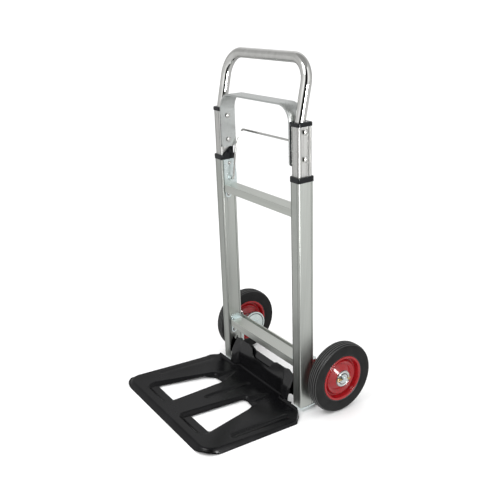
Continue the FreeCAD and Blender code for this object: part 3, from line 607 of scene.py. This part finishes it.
def plate_height(x, y):
    """Height of the plate's top: its rim, its sinking sides, its trays and its grooves."""
    side = np.abs(x)
    drop = SIDE_DROP * soft_step((side - DROP_OUT) / DROP_OUT_RUN)
    drop = drop * soft_step((y - DROP_BACK) / DROP_BACK_RUN)
    drop = drop * soft_step((DROP_END - y) / DROP_END_RUN)
    rim = np.minimum(RIM_STEEPNESS * depth_inside(RIM_LOOP, x, y),
                     CHAMFER_STEEPNESS * chamfer_depth(x, y))
    lip = soft_step((side - LIP_START) / LIP_START_RUN) * soft_step((LIP_END - side) / LIP_END_RUN)
    rise = REAR_RISE + (LIP_RISE - REAR_RISE) * lip
    bend = np.clip(1.0 - rear_depth(x, y) / REAR_BEND, 0.0, 1.0) ** 2
    top = soft_min(rim, PLATE_TOP - drop + rise * bend, RIM_ROUND)
    grooves = groove_depth(x, y, *MIDDLE_GROOVE) + groove_depth(side, y, *SIDE_GROOVE)
    return np.maximum(top - tray_depth(side, y) - grooves, corner_lift(x, y))


def plate_underside(x, y, top, stretch):
    """Height of the underside: a sheet below the top, and no lower than the rim's edge."""
    skirt = SKIRT_STEEPNESS * (rear_depth(x, y) - PLATE_SHEET)
    return np.clip(np.minimum(top - PLATE_SHEET * stretch, skirt), corner_lift(x, y), None)


def toe_plate():
    """The pressed plate with its two trays, its grooves and its turned-down rim."""
    sheet = Sheet(PLATE_OUTLINE, [OPENING_RIGHT, OPENING_LEFT], plate_depth, PLATE_ROWS)
    points, normals, faces = sheet.mesh_data(plate_height, plate_underside)
    points = [(x, y + FOOT_Y, z) for x, y, z in points]
    add_piece("toe_plate_pressing", points, faces, PLATE_PAINT, "toe", ["toe_plate"], normals)


# ---------------------------------------------------------------- wall behind the toe plate

WALL_SHEET = 2.3
WALL_ROWS = (0.8, 2.2)
WALL_LOW, WALL_HALF = 2.6, 126.3
FOLD_INNER, FOLD_OUTER = 88.0, 97.0     # where the face steps forward to its outer parts
WALL_FACE, OUTER_FACE_LOW, OUTER_LEAN = -1.6, -12.7, 0.15
CREASE_HIGH, CREASE_LOW = 56.0, 48.0    # height of the crease in the middle and further out
CREASE_START, CREASE_RUN, CREASE_ROUND = 8.0, 50.0, 5.0
UPPER_LEAN, OUTER_UPPER_LEAN = 0.20, 0.11
EAR_START, EAR_TURN, EAR_ROUND = 117.0, 0.8, 4.0    # the ends turn back from here

wall_right = [(WALL_HALF, WALL_LOW), (WALL_HALF, 13.0), (118.5, 13.0), (118.5, 33.0),
              (WALL_HALF, 33.0), (WALL_HALF, 78.0), (111.0, 77.0), (97.0, 81.2), (56.0, 81.2),
              (45.0, 77.0), (35.0, 58.6)]
wall_rounding = [1.0, 1.0, 3.0, 5.0, 1.0, 4.0, 8.0, 20.0, 10.0, 8.0, 9.0]
WALL_OUTLINE = rounded_loop(both_sides(wall_right), wall_rounding + wall_rounding[::-1])
POCKET_LOW, POCKET_FACE, POCKET_LEAN = 50.5, 1.8, 0.50      # the panel in the wall's top recess
POCKET_OUTLINE = rounded_loop([(37.0, POCKET_LOW), (46.0, 70.5), (-38.0, 71.0), (-64.0, 77.5),
                               (-58.0, POCKET_LOW)], [2.0, 8.0, 30.0, 5.0, 2.0])
EAR_SECTION = ((2.0, 29.0), (16.0, 27.0), (23.0, 36.0), (23.0, 46.0), (14.0, 62.0), (3.5, 76.0),
               (-4.5, 50.0), (-4.5, 38.0))
EAR_INNER = 124.1           # inner face of the flat ears, whose outer face is at WALL_HALF


def wall_face(x, z):
    """Y of the wall's front face: a dark lower wall, a crease, and a panel that leans back."""
    side = np.abs(x)
    outer = soft_step((side - FOLD_INNER) / (FOLD_OUTER - FOLD_INNER))
    low = WALL_FACE + outer * (OUTER_FACE_LOW + OUTER_LEAN * (z - WALL_LOW) - WALL_FACE)
    sink = soft_step((side - CREASE_START) / CREASE_RUN)
    crease = CREASE_HIGH + (CREASE_LOW - CREASE_HIGH) * sink
    lean = UPPER_LEAN + outer * OUTER_UPPER_LEAN
    ends = EAR_TURN * soft_max(side - EAR_START, 0.0, EAR_ROUND)
    return low + lean * soft_max(z - crease, 0.0, CREASE_ROUND) + ends


def pocket_face(_, z):
    """Y of the panel behind the wall, which is the same all the way across."""
    return POCKET_FACE + POCKET_LEAN * (z - POCKET_LOW)


def loop_distance(loop, x, y):
    """Distance of points from the nearest side of a loop, positive inside it."""
    nearest = np.full(np.shape(x), np.inf)
    inside = np.zeros(np.shape(x), dtype=bool)
    for start, end in zip(loop, loop[1:] + loop[:1]):
        run = end - start
        part = np.clip(((x - start.x) * run.x + (y - start.y) * run.y) / run.length_squared, 0.0, 1.0)
        nearest = np.minimum(nearest, np.hypot(x - start.x - part * run.x, y - start.y - part * run.y))
        if run.y:
            crosses = (start.y > y) != (end.y > y)
            inside ^= crosses & (x < start.x + (y - start.y) * run.x / run.y)
    return np.where(inside, nearest, -nearest)


def wall_sheet(outline, face):
    """A standing sheet whose outline is given in X and Z, as row-frame points and normals."""
    sheet = Sheet(outline, [], lambda x, z: loop_distance(outline, x, z), WALL_ROWS)
    points, normals, faces = sheet.mesh_data(
        lambda x, z: -face(x, z), lambda x, z, top, stretch: top - WALL_SHEET * stretch)
    return ([(x, FOOT_Y - height, z) for x, z, height in points],
            [(x, -height, z) for x, z, height in normals], faces)


def ear_plate(side):
    """The flat ear on the hinge rod at one end of the wall."""
    count = len(EAR_SECTION)
    near, far = sorted((side * EAR_INNER, side * WALL_HALF))
    points, normals, faces = [], [], []
    for x, facing in ((near, -1), (far, 1)):
        order = range(len(points), len(points) + count)
        faces.append(tuple(order)[::-facing])
        points += [(x, y + FOOT_Y, z) for y, z in EAR_SECTION]
        normals += [(facing, 0.0, 0.0)] * count
    for index, (y, z) in enumerate(EAR_SECTION):
        next_y, next_z = EAR_SECTION[(index + 1) % count]
        outward = Vector((0.0, next_z - z, y - next_y)).normalized()
        base = len(points)
        points += [(x, a + FOOT_Y, b) for a, b in ((y, z), (next_y, next_z)) for x in (near, far)]
        normals += [tuple(outward)] * 4
        faces.append((base, base + 1, base + 3, base + 2))
    return points, normals, faces


def joined(parts):
    """The points, normals and faces of several meshes as those of one."""
    points, normals, faces = [], [], []
    for more_points, more_normals, more_faces in parts:
        start = len(points)
        points += more_points
        normals += more_normals
        faces += [tuple(start + index for index in face) for face in more_faces]
    return points, normals, faces


def toe_wall():
    """The stamped wall, the panel in its recess and its two hinge ears."""
    points, normals, faces = joined([wall_sheet(WALL_OUTLINE, wall_face),
                                     wall_sheet(POCKET_OUTLINE, pocket_face),
                                     ear_plate(-1), ear_plate(1)])
    add_piece("toe_wall_pressing", points, faces, WALL_PAINT, "toe", ["toe_upstand"], normals)


toe_plate()
toe_wall()


# ---------------------------------------------------------------- turned pieces

TURN_STEPS = 144
SHARP_ANGLE = math.radians(38)
TYRE_RADIUS, TYRE_HALF, TYRE_BORE = 83.48, 15.0, 54.05
SHOULDER_RADIUS = 76.0
CROWN_POWER = 3.0           # 2 would crown the tread as an ellipse; more is squarer

# Faces from the hub outward, as X from the wheel's middle, radius and rounding of each corner
RIM_FACE = ((11.9, 12.05, 0.2), (11.9, 19.6, 1.0), (3.2, 32.8, 1.2), (7.6, 39.2, 1.0),
            (1.2, 43.2, 1.4), (1.2, 46.0, 1.4), (11.6, 48.6, 1.6), (13.7, 49.8, 1.2),
            (13.8, 53.6, 1.0), (11.9, 54.0, 0.3))
HUB_FACE = ((13.4, 13.2, 0.1), (14.9, 13.4, 0.4), (14.9, 15.4, 0.4), (14.1, 16.0, 0.2),
            (14.1, 17.4, 0.2), (14.8, 18.0, 0.4), (14.6, 19.6, 0.4), (13.4, 19.8, 0.1))


def turned(profile, side):
    """Turns an outline of X and radius about the wheel's axis; side -1 mirrors it across the truck."""
    count = len(profile)
    area = sum(here.x * after.y - after.x * here.y
               for here, after in zip(profile, profile[1:] + profile[:1]))
    points, faces = [], []
    for step in range(TURN_STEPS):
        angle = 2 * math.pi * step / TURN_STEPS
        points += [(side * (WHEEL_MID + point.x), WHEEL_Y + point.y * math.sin(angle),
                    WHEEL_Z + point.y * math.cos(angle)) for point in profile]
    for step in range(TURN_STEPS):
        here, after = step * count, (step + 1) % TURN_STEPS * count
        for index in range(count):
            other = (index + 1) % count
            faces.append((here + index, here + other, after + other, after + index))
    if area * side < 0:
        faces = [face[::-1] for face in faces]
    return points, faces


def add_turned(name, corners, radii, material, side, replaced):
    """Adds one wheel's turned piece, in place of that wheel's replaced nodes."""
    label = "right" if side > 0 else "left"
    points, faces = turned(rounded_loop(corners, radii), side)
    nodes = [f"{stem}_{label}" for stem in replaced]
    piece = add_piece(f"{name}_{label}", points, faces, material, f"wheel_{label}", nodes)
    piece.data.set_sharp_from_angle(angle=SHARP_ANGLE)


def crown(x):
    """Radius of the tread, which is rounded across from shoulder to shoulder."""
    across = abs(x / TYRE_HALF) ** CROWN_POWER
    return SHOULDER_RADIUS + (TYRE_RADIUS - SHOULDER_RADIUS) * (1 - across) ** (1 / CROWN_POWER)


def tyre_outline():
    """Bead, flat sidewall and rounded, grooved tread, from one side across to the other."""
    near = [(-12.6, TYRE_BORE), (-14.0, 56.0), (-TYRE_HALF, 60.0), (-TYRE_HALF, SHOULDER_RADIUS),
            (-14.5, crown(14.5)), (-13.4, crown(13.4))]
    rounding = [0.6, 1.5, 5.0, 0.8, 0.6, 0.6]
    tread = []
    for middle in TREAD_PLACES:
        tread += [(middle - TREAD_HALF, crown(middle - TREAD_HALF)),
                  (middle, crown(middle) - TREAD_DEPTH),
                  (middle + TREAD_HALF, crown(middle + TREAD_HALF))]
    far = [(-x, radius) for x, radius in reversed(near)]
    return near + tread + far, rounding + [0.2] * len(tread) + rounding[::-1]


def face_outline(face):
    """The corners of a face and their rounding, as two lists."""
    return [(x, radius) for x, radius, _ in face], [rounding for _, _, rounding in face]


def rim_outline():
    """The rim's section: its face on both sides, with the tyre seat and the hub bore between."""
    corners, rounding = face_outline(RIM_FACE)
    mirrored = [(-x, radius) for x, radius in reversed(corners)]
    return corners + mirrored, rounding + rounding[::-1]


def wheels():
    """The tyre, the rim and the ringed hub face of both wheels."""
    for side in (1, -1):
        add_turned("tyre_turned", *tyre_outline(), RUBBER, side, ["tyre"])
        add_turned("rim_turned", *rim_outline(), RED_PAINT, side, ["rim"])
        add_turned("hub_face", *face_outline(HUB_FACE), ZINC_BRIGHT, side, [])


wheels()


# ---------------------------------------------------------------- studio

# Brightness of each part of the light tent against the angle, in degrees, round from the camera's side
WALL_LEVELS = ((0, 0.015), (20, 0.03), (27, 1.0), (42, 1.35), (68, 1.0), (95, 0.62), (125, 0.48),
               (150, 0.62), (180, 0.90))
LOW_WALL_LEVELS = ((0, 0.015), (20, 0.03), (27, 1.0), (42, 1.1), (68, 0.72), (95, 0.72), (125, 0.62),
                   (150, 0.40), (180, 0.30))
FLOOR_LEVELS = ((0, 0.02), (14, 0.03), (21, 0.9), (36, 1.0), (68, 0.70), (95, 0.70), (125, 0.58),
                (180, 0.40))
CEILING_LEVEL = 0.38
TENT_RADIUS, TENT_SIDES = 1.7, 96
TENT_HEIGHTS = (0.0, 0.95, 3.2)     # of the floor, the seam between the walls, and the roof
TENT_FLOOR_RISE = 0.0004
SOFTBOX_TURN, SOFTBOX_RISE = 36.0, 20.0     # degrees round from the camera and up
SOFTBOX_SIZE, SOFTBOX_LEVEL = 0.50, 24.0
SOFTBOX_REACH = 0.9 * TENT_RADIUS
FLOOR_HALF = 30.0
WORLD_LEVEL = 1.22
KEY_PLACE, KEY_AIM = (0.2, -1.4, 1.9), (0, 0, 0.3)
KEY_SIZE, KEY_POWER = (0.9, 0.9), 14


def stage_mesh(name, points, faces, material):
    """A plain mesh that isn't part of the object."""
    mesh = bpy.data.meshes.new(name)
    mesh.from_pydata(points, [], faces)
    mesh.materials.append(material)
    piece = bpy.data.objects.new(name, mesh)
    bpy.context.scene.collection.objects.link(piece)
    return piece


def studio_floor():
    """A large pale floor."""
    half = FLOOR_HALF
    paint = Shader("studio_floor", (0.93, 0.93, 0.93), roughness=0.9)
    stage_mesh("studio_floor", [(-half, -half, 0), (half, -half, 0), (half, half, 0), (-half, half, 0)],
               [(0, 1, 2, 3)], paint.material)


def glow(name, level=None, levels=()):
    """An emitting material, of one level or with levels graded round the tent."""
    material = bpy.data.materials.new(name)
    material.use_nodes = True
    tree = material.node_tree
    tree.nodes.clear()
    output = tree.nodes.new("ShaderNodeOutputMaterial")
    light = tree.nodes.new("ShaderNodeEmission")
    tree.links.new(light.outputs["Emission"], output.inputs["Surface"])
    if level is not None:
        light.inputs["Strength"].default_value = level
        return material
    place = tree.nodes.new("ShaderNodeTexCoord")
    turn = tree.nodes.new("ShaderNodeTexGradient")
    turn.gradient_type = "RADIAL"
    ramp = tree.nodes.new("ShaderNodeValToRGB")
    tree.links.new(place.outputs["Object"], turn.inputs["Vector"])
    tree.links.new(turn.outputs["Fac"], ramp.inputs["Fac"])
    tree.links.new(ramp.outputs["Color"], light.inputs["Strength"])
    stops = {0.5 + side * angle / 360: value for angle, value in levels for side in (-1, 1)}
    elements = ramp.color_ramp.elements
    for position, value in sorted(stops.items())[1:-1]:
        elements.new(position).color = (value, value, value, 1.0)
    for end in (elements[0], elements[-1]):
        end.color = (levels[-1][1],) * 3 + (1.0,)
    return material


def softbox():
    """A bright square panel beside and above the camera, which puts the highlights on gloss."""
    half = SOFTBOX_SIZE / 2
    panel = stage_mesh("softbox", [(-half, -half, 0), (half, -half, 0), (half, half, 0),
                                   (-half, half, 0)], [(0, 1, 2, 3)], glow("softbox", SOFTBOX_LEVEL))
    turn = math.atan2(CAMERA_PLACE[1], CAMERA_PLACE[0]) + math.radians(SOFTBOX_TURN)
    place = SOFTBOX_REACH * Vector((math.cos(turn), math.sin(turn), math.tan(math.radians(SOFTBOX_RISE))))
    panel.location = place
    panel.rotation_euler = place.to_track_quat("Z", "Y").to_euler()
    return panel


def light_tent():
    """A round tent that only mirror-like rays see, so that metal has a studio to reflect."""
    count = TENT_SIDES
    turns = [2 * math.pi * index / count for index in range(count)]
    rings = [[(TENT_RADIUS * math.cos(turn), TENT_RADIUS * math.sin(turn), height) for turn in turns]
             for height in TENT_HEIGHTS]
    walls = [(index, (index + 1) % count, count + (index + 1) % count, count + index)
             for index in range(count)]
    low_wall = stage_mesh("tent_low_wall", rings[0] + rings[1], walls,
                          glow("tent_low_wall", levels=LOW_WALL_LEVELS))
    wall = stage_mesh("tent_wall", rings[1] + rings[2], walls, glow("tent_wall", levels=WALL_LEVELS))
    ground = stage_mesh("tent_floor", rings[0], [tuple(range(count))],
                        glow("tent_floor", levels=FLOOR_LEVELS))
    ground.location.z = TENT_FLOOR_RISE
    for piece in (low_wall, wall, ground):
        piece.rotation_euler.z = math.atan2(CAMERA_PLACE[1], CAMERA_PLACE[0])
    roof = stage_mesh("tent_roof", rings[2], [tuple(range(count))], glow("tent_roof", CEILING_LEVEL))
    for piece in (low_wall, wall, ground, roof, softbox()):
        piece.visible_camera = False
        piece.visible_diffuse = False
        piece.visible_shadow = False
        piece.visible_transmission = False


def key_light():
    data = bpy.data.lights.new("key", "AREA")
    data.shape = "RECTANGLE"
    data.size, data.size_y = KEY_SIZE
    data.energy = KEY_POWER
    lamp = bpy.data.objects.new("key", data)
    lamp.location = KEY_PLACE
    lamp.rotation_euler = (Vector(KEY_AIM) - Vector(KEY_PLACE)).to_track_quat("-Z", "Y").to_euler()
    bpy.context.scene.collection.objects.link(lamp)


def studio_world():
    """Even white light from all round."""
    world = bpy.data.worlds.new("studio")
    bpy.context.scene.world = world
    world.use_nodes = True
    background = world.node_tree.nodes["Background"]
    background.inputs["Color"].default_value = (1.0, 1.0, 1.0, 1.0)
    background.inputs["Strength"].default_value = WORLD_LEVEL


def add_camera():
    data = bpy.data.cameras.new("camera")
    data.lens = CAMERA_LENS
    data.sensor_width = SENSOR
    camera = bpy.data.objects.new("camera", data)
    camera.location = CAMERA_PLACE
    camera.rotation_euler = Euler([math.radians(angle) for angle in CAMERA_TURN])
    bpy.context.scene.collection.objects.link(camera)
    bpy.context.scene.camera = camera


studio_floor()
studio_world()
light_tent()
key_light()
add_camera()
bpy.context.scene.view_settings.view_transform = "Standard"
